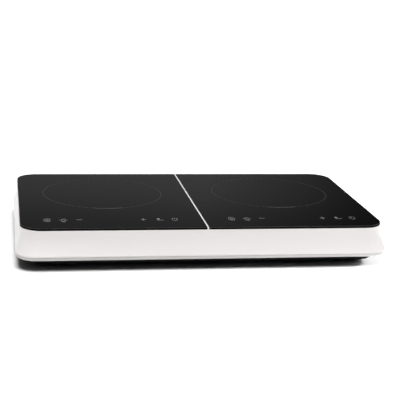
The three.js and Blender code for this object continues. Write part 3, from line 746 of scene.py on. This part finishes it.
def dress_carried_nodes():
    materials = carried_materials()
    kinds = (
        ("glass_seal", "silicone"), ("sensor", "silicone"), ("winding", "copper"), ("choke", "copper"),
        ("mica", "mica"), ("ferrite", "ferrite"), ("former", "coil_plastic"), ("terminal", "coil_plastic"),
        ("power_board", "circuit_board"), ("carrier", "black_plastic"), ("touch_board", "circuit_board"),
        ("heat_sink", "aluminium"), ("transistor", "epoxy"), ("rectifier", "epoxy"),
        ("capacitor", "capacitor"), ("display", "display"), ("lead", "wire"), ("bearing", "brass"),
        ("fan_", "black_plastic"),
    )
    for name, node in frame["nodes"].items():
        for part, slot in kinds:
            if part in name:
                for material_slot in node.material_slots:
                    material_slot.material = materials[slot]
                break


# ------------------------------------------------------------------ stage, light and camera

def floor():
    made = moulded("floor", (0.15, 0.15, 0.15), 0.004, (0.75, 0.85), 20, 0.01)
    half = FLOOR_HALF
    corners = [(-half, -half, 0), (half, -half, 0), (half, half, 0), (-half, half, 0)]
    ground = new_object("floor", mesh_of("floor", corners, [(0, 1, 2, 3)]), made)
    return ground


# The studio round the cooktop, by direction. CEILING is the ceiling's share by height (0 level, 1 overhead),
# WALL_ACROSS the wall's brightness from left (0) to right (1), and WALL_UP its fall with height. The steps
# across the wall were tuned for how the glass looks from the main camera.
CEILING = ((0.80, 0), (0.90, 1))
CEILING_LIGHT = 0.3
WALL_ACROSS = (
    (0.50, 0.14), (0.59, 0.155), (0.617, 0.108), (0.634, 0.08), (0.655, 0.042), (0.67, 0.028), (1, 0.09),
)
WALL_UP = ((0.22, 1.0), (0.25, 0.9), (0.28, 0.5), (0.5, 0.45))


def world():
    """A dim studio, as the glass mirrors it: lighter to the left behind the cooktop."""
    made = bpy.data.worlds.new("studio")
    bpy.context.scene.world = made
    made.use_nodes = True
    tree = made.node_tree
    link = tree.links.new
    place = tree.nodes.new("ShaderNodeTexCoord").outputs["Generated"]
    split = tree.nodes.new("ShaderNodeSeparateXYZ")
    link(place, split.inputs[0])

    def ramp(source, low, high, stops):
        spread = tree.nodes.new("ShaderNodeMapRange")
        spread.inputs["From Min"].default_value = low
        spread.inputs["From Max"].default_value = high
        link(source, spread.inputs["Value"])
        shade = tree.nodes.new("ShaderNodeValToRGB")
        while len(shade.color_ramp.elements) < len(stops):
            shade.color_ramp.elements.new(0.5)
        for element, (position, value) in zip(shade.color_ramp.elements, stops):
            element.position = position
            element.color = (value, value, value, 1)
        link(spread.outputs["Result"], shade.inputs["Fac"])
        return shade.outputs["Color"]

    ceiling = ramp(split.outputs["Z"], 0, 1, CEILING)
    wall = ramp(split.outputs["X"], -1, 1, WALL_ACROSS)
    height = ramp(split.outputs["Z"], 0, 1, WALL_UP)
    dimmed = tree.nodes.new("ShaderNodeMix")
    dimmed.data_type = "RGBA"
    dimmed.blend_type = "MULTIPLY"
    dimmed.inputs["Factor"].default_value = 1
    link(wall, dimmed.inputs["A"])
    link(height, dimmed.inputs["B"])
    bright = tree.nodes.new("ShaderNodeMix")
    bright.data_type = "RGBA"
    link(ceiling, bright.inputs["Factor"])
    link(dimmed.outputs["Result"], bright.inputs["A"])
    bright.inputs["B"].default_value = (CEILING_LIGHT, CEILING_LIGHT, CEILING_LIGHT, 1)
    background = tree.nodes["Background"]
    link(bright.outputs["Result"], background.inputs["Color"])


def light_only(lamp, things, state="INCLUDE"):
    """Limits a light to some objects (INCLUDE), or keeps it off them (EXCLUDE)."""
    chosen = bpy.data.collections.new(lamp.name + "_link")
    lamp.light_linking.receiver_collection = chosen
    for thing in things:
        chosen.objects.link(thing)
    for member in chosen.collection_objects:
        member.light_linking.link_state = state


def lamp(name, kind, at, power, target=(0, 0, 0.03), **settings):
    """A light that faces the middle of the cooktop, or another target."""
    data = bpy.data.lights.new(name, kind)
    data.energy = power
    for key, value in settings.items():
        setattr(data, key, value)
    made = bpy.data.objects.new(name, data)
    made.location = at
    made.rotation_euler = (Vector(target) - Vector(at)).to_track_quat("-Z", "Y").to_euler()
    bpy.context.scene.collection.objects.link(made)
    return made


def lights(ground, panes):
    """The floor and the panes are lit apart from the housing, so each light is limited to what it is for."""
    box = {"shape": "RECTANGLE", "size": 2.4, "size_y": 1.0}
    disk = {"shape": "DISK", "size": 0.25}
    light_only(lamp("front_softbox", "AREA", (-0.55, -1.89, 1.37), 4.2, **disk), [ground], "EXCLUDE")
    light_only(lamp("overhead_light", "SUN", (0, 0, 3), 3.7, angle=math.radians(66)), panes, "EXCLUDE")
    light_only(lamp("floor_light", "SUN", (0, 0, 3), 18, angle=math.radians(36)), [ground])
    light_only(lamp("right_floor_light", "AREA", (2.4, 0.5, 1.0), 300, **box), [ground])
    beam = {"spot_size": math.radians(15), "spot_blend": 0.7, "shadow_soft_size": 0.05}
    light_only(lamp("lip_light", "SPOT", (1.2, -0.1, 0.45), 260, (0.29, -0.15, 0), **beam), [ground])


CAMERA_AT = (-0.3176, -1.8028, 0.5458)
CAMERA_YAW, CAMERA_PITCH, CAMERA_ROLL = 10.51, 14.76, 2.42
LENS, SENSOR = 98.62, 36


def camera():
    yaw, pitch, roll = (math.radians(a) for a in (CAMERA_YAW, CAMERA_PITCH, CAMERA_ROLL))
    forward = Vector((math.sin(yaw) * math.cos(pitch), math.cos(yaw) * math.cos(pitch), -math.sin(pitch)))
    level = Vector((math.cos(yaw), -math.sin(yaw), 0))
    down = forward.cross(level)
    right = level * math.cos(roll) - down * math.sin(roll)
    down = level * math.sin(roll) + down * math.cos(roll)
    data = bpy.data.cameras.new("camera")
    data.lens = LENS
    data.sensor_width = SENSOR
    data.clip_end = 200
    made = bpy.data.objects.new("camera", data)
    turn = Matrix((right, -down, -forward)).transposed().to_4x4()
    made.matrix_world = Matrix.Translation(CAMERA_AT) @ turn
    bpy.context.scene.collection.objects.link(made)
    bpy.context.scene.camera = made


camera()
world()
upper_cover()
lower_bezel()
base_pan()
feet()
housing_screws()
cable_gland()
lights(floor(), glass_panes())
prints()
dress_carried_nodes()
bpy.context.scene.view_settings.view_transform = "Standard"
